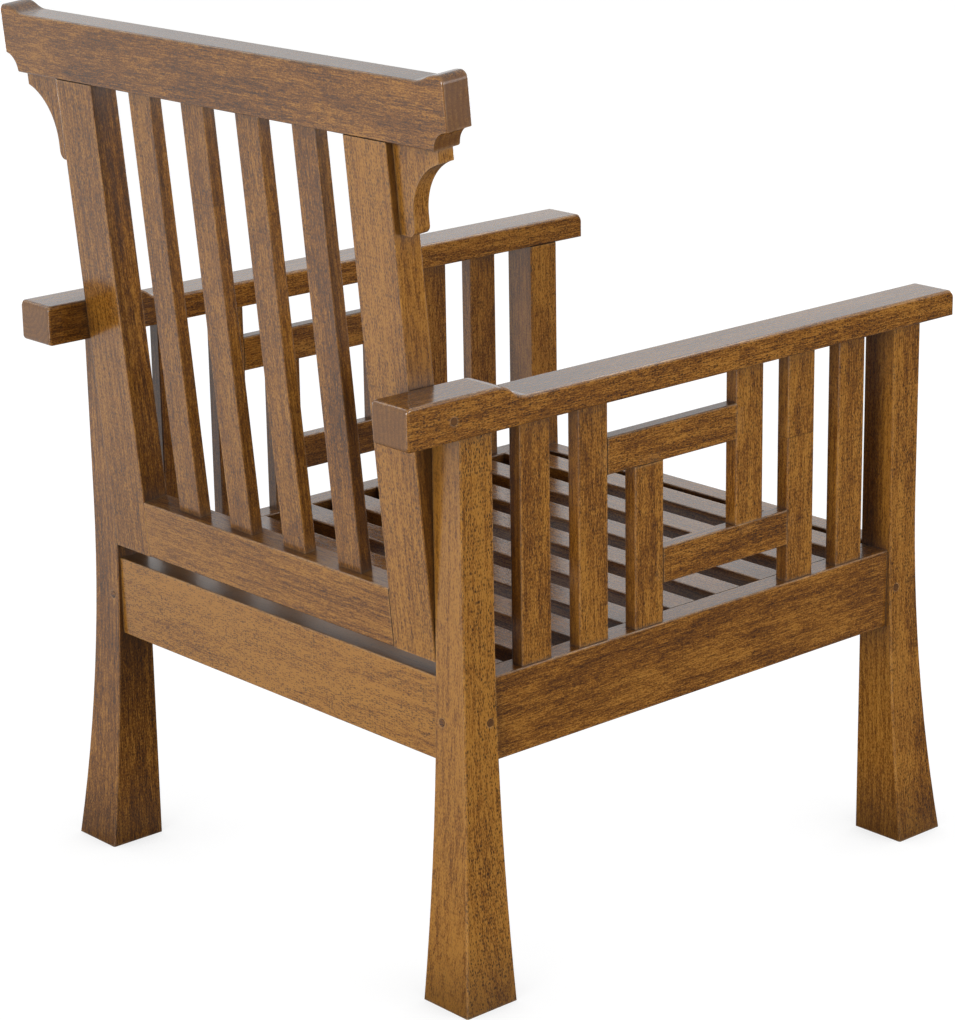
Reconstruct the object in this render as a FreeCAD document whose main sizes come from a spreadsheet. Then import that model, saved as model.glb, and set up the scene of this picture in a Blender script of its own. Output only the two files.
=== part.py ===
import FreeCAD, Part
import math
import os
import Sketcher

# Slatted hardwood lounge armchair with a leaning back.
# Millimetres, +Z up, the sitter faces -Y. The origin is on the floor, under the middle of the arms.

DIMENSIONS = (
    ("arm_length", 782.0),
    ("arm_rear_overhang", 73.0),
    ("arm_front_overhang", 43.0),
    ("arm_width", 52.0),
    ("arm_underside", 591.0),
    ("arm_thick", 29.0),
    ("arm_step", 14.5),
    ("arm_step_run", 39.0),
    ("arm_step_lead", 0.3),
    ("arm_nose", 9.0),
    ("arm_ease", 3.0),
    ("arm_end_ease", 5.0),
    ("seat_clear_width", 536.0),
    ("leg_size", 42.0),
    ("leg_flare", 25.0),
    ("flare_start", 400.0),
    ("leg_tenon", 24.0),
    ("leg_tenon_height", 18.0),
    ("leg_arris", 1.2),
    ("edge_ease", 1.6),
    ("crest_ease", 2.2),
    ("apron_top", 338.0),
    ("apron_height", 88.0),
    ("apron_thick", 28.0),
    ("apron_inset", 3.0),
    ("tenon_thick", 12.0),
    ("tenon_shoulder", 10.0),
    ("side_tenon", 24.0),
    ("cross_tenon", 16.0),
    ("fit", 0.15),
    ("mortise_spare", 1.0),
    ("peg_radius", 4.0),
    ("peg_length", 26.0),
    ("peg_setback", 10.0),
    ("peg_proud", 0.3),
    ("slat_width", 40.0),
    ("slat_thick", 16.0),
    ("slat_recess", 3.0),
    ("slat_pitch", 78.5),
    ("slat_first", 73.2),
    ("slat_tenon", 12.0),
    ("slat_tenon_inset", 3.0),
    ("slat_tenon_shoulder", 5.0),
    ("lattice_tenon", 10.0),
    ("upper_rail_low", 511.0),
    ("lower_rail_low", 379.0),
    ("rail_height", 39.0),
    ("back_bottom", 354.0),
    ("back_tilt", 5.2),
    ("back_thick", 32.0),
    ("stile_width", 63.0),
    ("stile_tenon", 35.0),
    ("bottom_rail_height", 63.0),
    ("bottom_rail_tenon", 25.0),
    ("back_slat_width", 37.0),
    ("back_slat_thick", 15.0),
    ("back_slat_recess", 9.5),
    ("crest_underside", 523.0),
    ("crest_height", 64.0),
    ("crest_half", 356.5),
    ("crest_cove", 20.0),
    ("ear_rise", 8.0),
    ("ear_round", 8.0),
    ("ear_run", 34.0),
    ("corbel_thick", 20.0),
    ("corbel_recess", 8.0),
    ("corbel_reach", 64.0),
    ("corbel_end", 14.0),
    ("corbel_height", 90.0),
    ("corbel_leg", 21.0),
    ("corbel_arc", 60.0),
    ("corbel_toe", 8.0),
    ("seat_slat_width", 37.5),
    ("seat_slat_thick", 18.0),
    ("seat_slat_pitch", 67.9),
    ("cleat_width", 20.0),
    ("cleat_height", 28.0),
    ("cleat_gap", 1.0),
    ("wood_screw_radius", 2.0),
    ("wood_screw_head", 4.0),
    ("wood_screw_length", 40.0),
    ("cleat_screw_length", 38.0),
    ("arm_screw_radius", 2.0),
    ("arm_screw_head", 3.6),
    ("arm_screw_length", 68.0),
    ("arm_screw_depth", 8.5),
    ("arm_screw_up", 258.0),
    ("plug_radius", 4.0),
    ("plug_thick", 8.0),
    ("dowel_radius", 5.0),
    ("dowel_length", 40.0),
    ("dowel_up", 40.0),
    ("pin_radius", 3.0),
    ("pin_length", 24.0),
    ("corbel_pin_up", 468.0),
    ("corbel_pin_out", 40.0),
)
SEAT_SLATS = 9
CLEAT_SCREW_STEPS = (-3.5, -1.5, 1.5, 3.5)

# Places that several pieces share, written as sums of the driving dimensions
LEG_IN = "(Dims.seat_clear_width / 2)"
LEG_OUT = f"({LEG_IN} + Dims.leg_size)"
REAR = "(Dims.arm_length / 2 - Dims.arm_rear_overhang)"
FRONT = "(Dims.arm_front_overhang - Dims.arm_length / 2)"
REAR_IN = f"({REAR} - Dims.leg_size)"
FRONT_IN = f"({FRONT} + Dims.leg_size)"
MIDDLE = f"(({REAR} + {FRONT}) / 2)"
APRON_LOW = "(Dims.apron_top - Dims.apron_height)"
PEG_UP = "(Dims.apron_top - Dims.apron_height / 2)"
TENON_LOW = f"({APRON_LOW} + Dims.tenon_shoulder)"
TENON_HIGH = "(Dims.apron_top - Dims.tenon_shoulder)"
SIDE_OUT = f"({LEG_OUT} - Dims.apron_inset)"
SIDE_IN = f"({SIDE_OUT} - Dims.apron_thick)"
SIDE_MID = f"({SIDE_OUT} - Dims.apron_thick / 2)"
CROSS_OFFSET = "(Dims.leg_size - Dims.apron_inset - Dims.apron_thick / 2)"
SLAT_OUT = f"({SIDE_OUT} - Dims.slat_recess)"
SLAT_IN = f"({SLAT_OUT} - Dims.slat_thick)"
LOWER_RAIL_HIGH = "(Dims.lower_rail_low + Dims.rail_height)"
STILE_IN = f"({LEG_IN} - Dims.stile_width)"
BACK_MID = "(-Dims.back_thick / 2)"
BACK_SLAT_MID = "(-Dims.back_slat_recess - Dims.back_slat_thick / 2)"
CLEAT_HIGH = "(Dims.apron_top - Dims.seat_slat_thick)"
CLEAT_LOW = f"({CLEAT_HIGH} - Dims.cleat_height)"
CLEAT_IN = f"({SIDE_IN} - Dims.cleat_width)"
CLEAT_MID = f"({SIDE_IN} - Dims.cleat_width / 2)"
CORBEL_MID = "(-Dims.corbel_recess - Dims.corbel_thick / 2)"
TILT = "(Dims.back_tilt * 1 deg)"
FLARE_RADIUS = "((Dims.flare_start ^ 2 + Dims.leg_flare ^ 2) / (2 * Dims.leg_flare))"
FLARE_AT_PEG = f"({FLARE_RADIUS} - sqrt({FLARE_RADIUS} ^ 2 - (Dims.flare_start - {PEG_UP}) ^ 2))"
ARM_STEP_RADIUS = "((Dims.arm_step_run / 2) ^ 2 + (Dims.arm_step / 2) ^ 2) / Dims.arm_step"
EAR_RADIUS = "((Dims.ear_run / 2) ^ 2 + (Dims.ear_rise / 2) ^ 2) / Dims.ear_rise"

TURN = {
    "+x": FreeCAD.Rotation(FreeCAD.Vector(0, 1, 0), 90),
    "-x": FreeCAD.Rotation(FreeCAD.Vector(0, 1, 0), -90),
    "+y": FreeCAD.Rotation(FreeCAD.Vector(1, 0, 0), -90),
    "-y": FreeCAD.Rotation(FreeCAD.Vector(1, 0, 0), 90),
    "+z": FreeCAD.Rotation(),
}

doc = FreeCAD.newDocument("armchair")
sheet = doc.addObject("Spreadsheet::Sheet", "Dims")
for line, (alias, value) in enumerate(DIMENSIONS, 1):
    sheet.set(f"A{line}", alias)
    sheet.set(f"B{line}", str(value))
    sheet.setAlias(f"B{line}", alias)
probe = doc.addObject("Spreadsheet::Sheet", "Probe")
doc.recompute()

pieces = []


def number(text):
    """The present value of an expression, read back from a spare spreadsheet cell."""
    probe.set("A1", f"={text}")
    probe.recompute()
    found = probe.get("A1")
    return float(getattr(found, "Value", found))


def put(thing, base, turn=None):
    """Place an object at a point given as three expressions."""
    if turn is not None:
        thing.Placement = FreeCAD.Placement(FreeCAD.Vector(), turn)
    for axis, text in zip("xyz", base):
        thing.setExpression(f"Placement.Base.{axis}", text)


def lean(thing):
    """Give an object the placement of the leaning back: hinge line at the legs' back faces."""
    turn = FreeCAD.Rotation(FreeCAD.Vector(-1, 0, 0), number("Dims.back_tilt"))
    put(thing, ("0", REAR, "Dims.back_bottom"), turn)
    thing.setExpression("Placement.Rotation.Angle", "Dims.back_tilt")


def back_to_world(depth, up):
    """World y and z of a point of the back, from its depth (forward is negative) and height up it."""
    across = f"({REAR} + ({depth}) * cos({TILT}) + ({up}) * sin({TILT}))"
    height = f"(Dims.back_bottom - ({depth}) * sin({TILT}) + ({up}) * cos({TILT}))"
    return across, height


def new_body(label):
    body = doc.addObject("PartDesign::Body", label)
    body.Label = label
    pieces.append(body)
    return body


def span(sign, low, high):
    """The same stretch on the left (+1) or right (-1) of the middle."""
    return (low, high) if sign > 0 else (f"-({high})", f"-({low})")


def block(body, name, x, y, z, cut=False):
    """A box added to or cut from a body, between low and high expressions on each axis."""
    kind = "PartDesign::SubtractiveBox" if cut else "PartDesign::AdditiveBox"
    box = body.newObject(kind, name)
    for size, (low, high) in zip(("Length", "Width", "Height"), (x, y, z)):
        box.setExpression(size, f"({high}) - ({low})")
    put(box, (x[0], y[0], z[0]))
    return box


def hole(body, name, base, direction, radius, length):
    """A round hole cut from a body, starting at base."""
    drill = body.newObject("PartDesign::SubtractiveCylinder", name)
    drill.setExpression("Radius", f"{radius} + Dims.fit")
    drill.setExpression("Height", length)
    put(drill, base, TURN[direction])
    return drill


def around(middle, width):
    """The stretch of a width about a middle."""
    return f"({middle}) - ({width}) / 2", f"({middle}) + ({width}) / 2"


def wider(stretch):
    """A mortise's stretch: the tenon's, with the fit added at both ends."""
    return f"({stretch[0]}) - Dims.fit", f"({stretch[1]}) + Dims.fit"


def ease(body, base, amount, chosen, flat=False):
    """Round the edges of a feature that the test chosen picks out, or plane them flat."""
    doc.recompute()
    names = [f"Edge{i}" for i, edge in enumerate(base.Shape.Edges, 1) if chosen(edge)]
    kind, size = ("PartDesign::Chamfer", "Size") if flat else ("PartDesign::Fillet", "Radius")
    eased = body.newObject(kind, "Ease")
    eased.Base = (base, names)
    eased.setExpression(size, amount)
    return eased


def along(axis):
    """A test for straight edges parallel to an axis."""
    place = "xyz".index(axis)
    return lambda edge: edge.Curve.TypeId == "Part::GeomLine" and abs(edge.tangentAt(0)[place]) > 0.999


def bar(body, x, y, z, axis):
    """A squared bar with its long edges eased."""
    box = block(body, "Bar", x, y, z)
    ease(body, box, "Dims.edge_ease", along(axis))


def sketch_on(body, plane, name):
    sketch = body.newObject("Sketcher::SketchObject", name)
    support = next(item for item in body.Origin.OriginFeatures if item.Role == plane)
    sketch.AttachmentSupport = [(support, "")]
    sketch.MapMode = "FlatFace"
    return sketch


def arc_between(start, end, radius, turn):
    """The short arc from start to end, anticlockwise for turn +1 and clockwise for -1."""
    chord = end - start
    reach = math.sqrt(max(radius ** 2 - (chord.Length / 2) ** 2, 0.0))
    normal = FreeCAD.Vector(-chord.y, chord.x, 0).normalize()
    centre = start + chord * 0.5 + normal * reach * turn
    first, last = (start, end) if turn > 0 else (end, start)
    angles = [math.atan2(point.y - centre.y, point.x - centre.x) for point in (first, last)]
    return Part.ArcOfCircle(Part.Circle(centre, FreeCAD.Vector(0, 0, 1), radius), *angles)


def outline(sketch, corners):
    """Draw a closed outline whose corners are bound to expressions.

    A corner is (x, y), followed by a radius and a turn where an arc runs on to the next corner.
    """
    spots = [FreeCAD.Vector(number(corner[0]), number(corner[1]), 0) for corner in corners]
    ends = []
    for i, corner in enumerate(corners):
        start = spots[i]
        end = spots[(i + 1) % len(spots)]
        if len(corner) == 2:
            edge = sketch.addGeometry(Part.LineSegment(start, end))
            ends.append((edge, 1, 2))
            continue
        radius, turn = corner[2:]
        edge = sketch.addGeometry(arc_between(start, end, number(radius), turn))
        ends.append((edge, 1, 2) if turn > 0 else (edge, 2, 1))
        bind(sketch, Sketcher.Constraint("Radius", edge, number(radius)), radius)
    for i, (edge, begin, _) in enumerate(ends):
        last_edge, _, last_end = ends[i - 1]
        sketch.addConstraint(Sketcher.Constraint("Coincident", last_edge, last_end, edge, begin))
        for axis, text, place in zip("XY", corners[i][:2], spots[i][:2]):
            bind(sketch, Sketcher.Constraint(f"Distance{axis}", -1, 1, edge, begin, place), text)


def bind(sketch, constraint, text):
    place = sketch.addConstraint(constraint)
    sketch.setExpression(f"Constraints[{place}]", text)


def pad(body, sketch, length, backwards=False):
    feature = body.newObject("PartDesign::Pad", "Pad")
    feature.Profile = sketch
    feature.setExpression("Length", length)
    feature.Reversed = backwards
    return feature


def group(label, members):
    """Identical fasteners, as separate solids of one piece."""
    together = doc.addObject("Part::Compound", label)
    together.Label = label
    together.Links = members
    pieces.append(together)
    return together


def pin(base, direction, radius, length):
    """A plain round peg or dowel."""
    rod = doc.addObject("Part::Cylinder", "Pin")
    rod.setExpression("Radius", radius)
    rod.setExpression("Height", length)
    put(rod, base, TURN[direction])
    return rod


def screw(base, direction, radius, head, length):
    """A countersunk wood screw: its head starts at base."""
    shank = doc.addObject("Part::Cylinder", "Shank")
    shank.setExpression("Radius", radius)
    shank.setExpression("Height", length)
    cone = doc.addObject("Part::Cone", "Head")
    cone.setExpression("Radius1", head)
    cone.setExpression("Radius2", radius)
    cone.setExpression("Height", f"{head} - {radius}")
    whole = doc.addObject("Part::Fuse", "Screw")
    whole.Base = shank
    whole.Tool = cone
    put(whole, base, TURN[direction])
    return whole


def countersink(body, base, direction, radius, head):
    """The cone that a screw's head sits in."""
    sink = body.newObject("PartDesign::SubtractiveCone", "Countersink")
    sink.setExpression("Radius1", f"{head} + Dims.fit")
    sink.setExpression("Radius2", f"{radius} + Dims.fit")
    sink.setExpression("Height", f"{head} - {radius}")
    put(sink, base, TURN[direction])


def slat_places():
    """Distance of each side slat's middle from the middle of the panel, rear to front."""
    first, second, third = (f"(Dims.slat_first + {step} * Dims.slat_pitch)" for step in (2, 1, 0))
    return first, second, third, f"(-{third})", f"(-{second})", f"(-{first})"


SLAT_1, SLAT_2, SHORT_LOWER, SHORT_UPPER, SLAT_5, SLAT_6 = slat_places()
ARM_SLATS = (SLAT_1, SLAT_2, SHORT_UPPER, SLAT_5, SLAT_6)
APRON_SLATS = (SLAT_1, SLAT_2, SHORT_LOWER, SLAT_5, SLAT_6)
SLAT_TENON_X = (f"{SLAT_IN} + Dims.slat_tenon_inset", f"{SLAT_OUT} - Dims.slat_tenon_inset")


def slat_tenon_y(place):
    return around(f"{MIDDLE} + {place}", "(Dims.slat_width - 2 * Dims.slat_tenon_shoulder)")


def make_leg(label, side, end):
    """A square post with a foot that flares on its two outer faces. Local axes run outwards."""
    body = new_body(label)
    put(body, (f"{side} * {LEG_IN}", REAR_IN if end > 0 else FRONT_IN, "0"))
    outer = "Dims.leg_size"
    toe = "(Dims.leg_size + Dims.leg_flare)"
    profile = sketch_on(body, "XZ_Plane", "SideProfile")
    outline(profile, (
        ("0", "0"),
        (f"{side} * {toe}", "0", FLARE_RADIUS, -side),
        (f"{side} * {outer}", "Dims.flare_start"),
        (f"{side} * {outer}", "Dims.arm_underside"),
        ("0", "Dims.arm_underside"),
    ))
    pad(body, profile, toe, backwards=end > 0)
    waste = sketch_on(body, "YZ_Plane", "EndWaste")
    clear = f"({toe} + Dims.mortise_spare)"
    above = "(Dims.arm_underside + Dims.mortise_spare)"
    outline(waste, (
        (f"{end} * {toe}", "0"),
        (f"{end} * {clear}", "0"),
        (f"{end} * {clear}", above),
        (f"{end} * {outer}", above),
        (f"{end} * {outer}", "Dims.flare_start", FLARE_RADIUS, end),
    ))
    shaped = body.newObject("PartDesign::Pocket", "EndFace")
    shaped.Profile = waste
    shaped.Type = "ThroughAll"
    shaped.Midplane = True
    ease(body, shaped, "Dims.leg_arris", lambda edge: edge.BoundBox.ZLength > number(outer), flat=True)

    middle = (f"{outer} / 2", "Dims.leg_tenon")
    block(body, "TopTenon", span(side, *around(*middle)), span(end, *around(*middle)),
          ("Dims.arm_underside", "Dims.arm_underside + Dims.leg_tenon_height"))
    tall = wider((TENON_LOW, TENON_HIGH))
    block(body, "SideMortise", span(side, *wider(around(f"{SIDE_MID} - {LEG_IN}", "Dims.tenon_thick"))),
          span(end, "0", "Dims.side_tenon + Dims.mortise_spare"), tall, cut=True)
    block(body, "CrossMortise", span(side, "0", "Dims.cross_tenon + Dims.mortise_spare"),
          span(end, *wider(around(CROSS_OFFSET, "Dims.tenon_thick"))), tall, cut=True)
    start = f"({outer} - Dims.peg_length)"
    hole(body, "SidePegHole", (f"{side} * {start}", f"{end} * Dims.peg_setback", PEG_UP),
         "+x" if side > 0 else "-x", "Dims.peg_radius", "2 * Dims.peg_length")
    hole(body, "CrossPegHole", (f"{side} * Dims.peg_setback", f"{end} * {start}", PEG_UP),
         "+y" if end > 0 else "-y", "Dims.peg_radius", "2 * Dims.peg_length")
    if end > 0:
        across, height = back_to_world(BACK_MID, "Dims.dowel_up")
        hole(body, "BackDowelHole", ("0", f"{across} - {REAR_IN}", height),
             "+x" if side > 0 else "-x", "Dims.dowel_radius",
             "Dims.dowel_length / 2 + Dims.mortise_spare")


def make_side_apron(label, side):
    body = new_body(label)
    x = span(side, SIDE_IN, SIDE_OUT)
    bar(body, x, (FRONT_IN, REAR_IN), (APRON_LOW, "Dims.apron_top"), "y")
    tenon_x = span(side, *around(SIDE_MID, "Dims.tenon_thick"))
    block(body, "Tenons", tenon_x, (f"{FRONT_IN} - Dims.side_tenon", f"{REAR_IN} + Dims.side_tenon"),
          (TENON_LOW, TENON_HIGH))
    for place in (f"{FRONT_IN} - Dims.peg_setback", f"{REAR_IN} + Dims.peg_setback"):
        hole(body, "PegHole", (f"{side} * {SIDE_IN}", place, PEG_UP), "+x" if side > 0 else "-x",
             "Dims.peg_radius", "Dims.apron_thick")
    for place in APRON_SLATS:
        block(body, "SlatMortise", span(side, *wider(SLAT_TENON_X)), wider(slat_tenon_y(place)),
              ("Dims.apron_top - Dims.slat_tenon - Dims.mortise_spare", "Dims.apron_top"), cut=True)
    for step in CLEAT_SCREW_STEPS:
        base = (f"{side} * {SIDE_IN}", cleat_screw_y(step), f"({CLEAT_LOW} + {CLEAT_HIGH}) / 2")
        hole(body, "CleatScrewHole", base, "+x" if side > 0 else "-x", "Dims.wood_screw_radius",
             "Dims.cleat_screw_length - Dims.cleat_width + Dims.mortise_spare")


def make_cross_apron(label, end):
    """The rear (+1) or front (-1) apron."""
    body = new_body(label)
    middle = f"({REAR_IN if end > 0 else FRONT_IN} + {end} * {CROSS_OFFSET})"
    bar(body, (f"-{LEG_IN}", LEG_IN), around(middle, "Dims.apron_thick"),
        (APRON_LOW, "Dims.apron_top"), "x")
    block(body, "Tenons", (f"-{LEG_IN} - Dims.cross_tenon", f"{LEG_IN} + Dims.cross_tenon"),
          around(middle, "Dims.tenon_thick"), (TENON_LOW, TENON_HIGH))
    for side in (1, -1):
        base = (f"{side} * ({LEG_IN} + Dims.peg_setback)", f"{middle} - Dims.apron_thick / 2", PEG_UP)
        hole(body, "PegHole", base, "+y", "Dims.peg_radius", "Dims.apron_thick")


def make_arm(label, side):
    """An arm with a raised rear end that drops to the front in a short ogee."""
    body = new_body(label)
    put(body, (f"{side} * {LEG_IN}", "0", "0"))
    low = "Dims.arm_underside"
    top = "(Dims.arm_underside + Dims.arm_thick)"
    high = f"({top} + Dims.arm_step)"
    half = "(Dims.arm_length / 2)"
    step_start = f"({REAR_IN} + Dims.arm_step_lead)"
    profile = sketch_on(body, "YZ_Plane", "ArmProfile")
    outline(profile, (
        (f"-{half}", low),
        (half, low),
        (half, high),
        (step_start, high, ARM_STEP_RADIUS, 1),
        (f"{step_start} - Dims.arm_step_run / 2", f"{top} + Dims.arm_step / 2", ARM_STEP_RADIUS, -1),
        (f"{step_start} - Dims.arm_step_run", top),
        (f"-{half} + Dims.arm_nose", top, "Dims.arm_nose", 1),
        (f"-{half}", f"{top} - Dims.arm_nose"),
    ))
    shaped = pad(body, profile, "Dims.arm_width", backwards=side < 0)
    rounded = ease(body, shaped, "Dims.arm_end_ease", is_rear_end)
    ease(body, rounded, "Dims.arm_ease", lambda edge: edge.BoundBox.XLength < 1)

    leg_x = span(side, *wider(around("Dims.leg_size / 2", "Dims.leg_tenon")))
    leg_z = (low, f"{low} + Dims.leg_tenon_height + Dims.mortise_spare")
    for place in (f"{REAR} - Dims.leg_size / 2", f"{FRONT} + Dims.leg_size / 2"):
        block(body, "LegMortise", leg_x, wider(around(place, "Dims.leg_tenon")), leg_z, cut=True)
    slat_x = span(side, *(f"{edge} - {LEG_IN}" for edge in wider(SLAT_TENON_X)))
    slat_z = (low, f"{low} + Dims.slat_tenon + Dims.mortise_spare")
    for place in ARM_SLATS:
        block(body, "SlatMortise", slat_x, wider(slat_tenon_y(place)), slat_z, cut=True)
    across, height = back_to_world("-Dims.arm_screw_depth", "Dims.arm_screw_up")
    outwards = "+x" if side > 0 else "-x"
    hole(body, "ScrewHole", ("0", across, height), outwards, "Dims.arm_screw_radius", "Dims.arm_width")
    bottom = "(Dims.arm_width - Dims.plug_thick)"
    hole(body, "PlugHole", (f"{side} * {bottom}", across, height), outwards, "Dims.plug_radius",
         "2 * Dims.plug_thick")
    inwards = "-x" if side > 0 else "+x"
    countersink(body, (f"{side} * {bottom}", across, height), inwards,
                "Dims.arm_screw_radius", "Dims.arm_screw_head")


def is_rear_end(edge):
    """The two cross edges of an arm's rear end."""
    return abs(edge.CenterOfMass.y - number("Dims.arm_length / 2")) < 1 and edge.BoundBox.ZLength < 1


def make_slat(label, side, place, low, high, tenon_low, tenon_high, side_mortise=None):
    """An upright slat of a side panel. A side mortise is (direction, height) of a lattice rail's end."""
    body = new_body(label)
    y = around(f"{MIDDLE} + {place}", "Dims.slat_width")
    bar(body, span(side, SLAT_IN, SLAT_OUT), y, (low, high), "z")
    block(body, "Tenons", span(side, *SLAT_TENON_X), slat_tenon_y(place),
          (f"{low} - {tenon_low}", f"{high} + {tenon_high}"))
    if side_mortise:
        forward, rail_low = side_mortise
        deep = "(Dims.lattice_tenon + Dims.mortise_spare)"
        reach = (y[0], f"{y[0]} + {deep}") if forward else (f"{y[1]} - {deep}", y[1])
        block(body, "RailMortise", span(side, *wider(SLAT_TENON_X)), reach,
              wider(lattice_tenon_z(rail_low)), cut=True)


def lattice_tenon_z(rail_low):
    return (f"{rail_low} + Dims.slat_tenon_shoulder",
            f"{rail_low} + Dims.rail_height - Dims.slat_tenon_shoulder")


def make_lattice_rail(label, side, front, rear, low, slat_mortise, opens_up):
    """A short level rail between two slats, with a mortise for the short slat that meets it."""
    body = new_body(label)
    y = (f"{MIDDLE} + {front} + Dims.slat_width / 2", f"{MIDDLE} + {rear} - Dims.slat_width / 2")
    high = f"({low} + Dims.rail_height)"
    bar(body, span(side, SLAT_IN, SLAT_OUT), y, (low, high), "y")
    block(body, "Tenons", span(side, *SLAT_TENON_X),
          (f"{y[0]} - Dims.lattice_tenon", f"{y[1]} + Dims.lattice_tenon"), lattice_tenon_z(low))
    deep = "(Dims.lattice_tenon + Dims.mortise_spare)"
    z = (f"{high} - {deep}", high) if opens_up else (low, f"{low} + {deep}")
    block(body, "SlatMortise", span(side, *wider(SLAT_TENON_X)), wider(slat_tenon_y(slat_mortise)), z,
          cut=True)


def make_side_panel(name, side):
    """Four full slats and the pinwheel of two short slats and two rails between them."""
    full = ("Dims.apron_top", "Dims.arm_underside", "Dims.slat_tenon", "Dims.slat_tenon")
    make_slat(f"{name}_slat_1", side, SLAT_1, *full)
    make_slat(f"{name}_slat_2", side, SLAT_2, *full, side_mortise=(True, "Dims.upper_rail_low"))
    make_slat(f"{name}_slat_3", side, SLAT_5, *full, side_mortise=(False, "Dims.lower_rail_low"))
    make_slat(f"{name}_slat_4", side, SLAT_6, *full)
    make_slat(f"{name}_short_slat_lower", side, SHORT_LOWER, "Dims.apron_top", "Dims.upper_rail_low",
              "Dims.slat_tenon", "Dims.lattice_tenon", side_mortise=(True, "Dims.lower_rail_low"))
    make_slat(f"{name}_short_slat_upper", side, SHORT_UPPER, LOWER_RAIL_HIGH, "Dims.arm_underside",
              "Dims.lattice_tenon", "Dims.slat_tenon", side_mortise=(False, "Dims.upper_rail_low"))
    make_lattice_rail(f"{name}_lattice_rail_upper", side, SHORT_UPPER, SLAT_2, "Dims.upper_rail_low",
                      SHORT_LOWER, opens_up=False)
    make_lattice_rail(f"{name}_lattice_rail_lower", side, SLAT_5, SHORT_LOWER, "Dims.lower_rail_low",
                      SHORT_UPPER, opens_up=True)


BACK_DEPTH = ("-Dims.back_thick", "0")
BACK_TENON_Y = around(BACK_MID, "Dims.tenon_thick")
STILE_TENON_X = (f"{STILE_IN} + Dims.tenon_shoulder", f"{LEG_IN} - Dims.tenon_shoulder")
RAIL_TENON_Z = ("Dims.tenon_shoulder", "Dims.bottom_rail_height - Dims.tenon_shoulder")
BACK_SLAT_TENON_Y = around(BACK_SLAT_MID, "(Dims.back_slat_thick - 2 * Dims.slat_tenon_inset)")


def back_slat_x(i):
    """Middle of back slat i of four, left to right, with five equal gaps."""
    step = f"((2 * {STILE_IN} - 4 * Dims.back_slat_width) / 5 + Dims.back_slat_width)"
    return f"({1.5 - i} * {step})"


def back_slat_tenon_x(i):
    return around(back_slat_x(i), "(Dims.back_slat_width - 2 * Dims.slat_tenon_shoulder)")


def make_stile(label, side):
    body = new_body(label)
    lean(body)
    bar(body, span(side, STILE_IN, LEG_IN), BACK_DEPTH, ("0", "Dims.crest_underside"), "z")
    block(body, "TopTenon", span(side, *STILE_TENON_X), BACK_TENON_Y,
          ("Dims.crest_underside", "Dims.crest_underside + Dims.stile_tenon"))
    block(body, "RailMortise",
          span(side, STILE_IN, f"{STILE_IN} + Dims.bottom_rail_tenon + Dims.mortise_spare"),
          wider(BACK_TENON_Y), wider(RAIL_TENON_Z), cut=True)
    inwards = "-x" if side > 0 else "+x"
    face = f"{side} * {LEG_IN}"
    hole(body, "DowelHole", (face, BACK_MID, "Dims.dowel_up"), inwards, "Dims.dowel_radius",
         "Dims.dowel_length / 2 + Dims.mortise_spare")
    hole(body, "ScrewHole", (face, "-Dims.arm_screw_depth", "Dims.arm_screw_up"), inwards,
         "Dims.arm_screw_radius",
         "Dims.arm_screw_length - Dims.arm_width + Dims.plug_thick + Dims.mortise_spare")
    hole(body, "CorbelPinHole", (face, CORBEL_MID, "Dims.corbel_pin_up"), inwards, "Dims.pin_radius",
         "Dims.pin_length / 2 + Dims.mortise_spare")


def make_bottom_rail(label):
    body = new_body(label)
    lean(body)
    bar(body, (f"-{STILE_IN}", STILE_IN), BACK_DEPTH, ("0", "Dims.bottom_rail_height"), "x")
    block(body, "Tenons", (f"-{STILE_IN} - Dims.bottom_rail_tenon", f"{STILE_IN} + Dims.bottom_rail_tenon"),
          BACK_TENON_Y, RAIL_TENON_Z)
    for i in range(4):
        block(body, "SlatMortise", wider(back_slat_tenon_x(i)), wider(BACK_SLAT_TENON_Y),
              ("Dims.bottom_rail_height - Dims.slat_tenon - Dims.mortise_spare", "Dims.bottom_rail_height"),
              cut=True)


def make_back_slat(label, i):
    body = new_body(label)
    lean(body)
    bar(body, around(back_slat_x(i), "Dims.back_slat_width"), around(BACK_SLAT_MID, "Dims.back_slat_thick"),
        ("Dims.bottom_rail_height", "Dims.crest_underside"), "z")
    block(body, "Tenons", back_slat_tenon_x(i), BACK_SLAT_TENON_Y,
          ("Dims.bottom_rail_height - Dims.slat_tenon", "Dims.crest_underside + Dims.slat_tenon"))


def crest_end(side):
    """Corners of one end of the crest rail, from its cove up over its ear, on the left for side +1."""
    low = "Dims.crest_underside"
    top = f"({low} + Dims.crest_height)"
    ear = f"({top} + Dims.ear_rise)"
    crown = "(Dims.crest_half - Dims.ear_round)"
    middle = f"({crown} - Dims.ear_run / 2)"
    corners = (
        ("Dims.crest_half - Dims.crest_cove", low),
        ("Dims.crest_half", f"{low} + Dims.crest_cove"),
        ("Dims.crest_half", f"{ear} - Dims.ear_round"),
        (crown, ear),
        (middle, f"{top} + Dims.ear_rise / 2"),
        (f"{crown} - Dims.ear_run", top),
    )
    arcs = (("Dims.crest_cove", -1), None, ("Dims.ear_round", 1), (EAR_RADIUS, 1), (EAR_RADIUS, -1))
    places = [(f"{side} * ({x})", z) for x, z in corners]
    if side > 0:
        return [place + (arc or ()) for place, arc in zip(places, arcs + (None,))]
    return [place + (arc or ()) for place, arc in zip(places[::-1], arcs[::-1] + (None,))]


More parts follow.
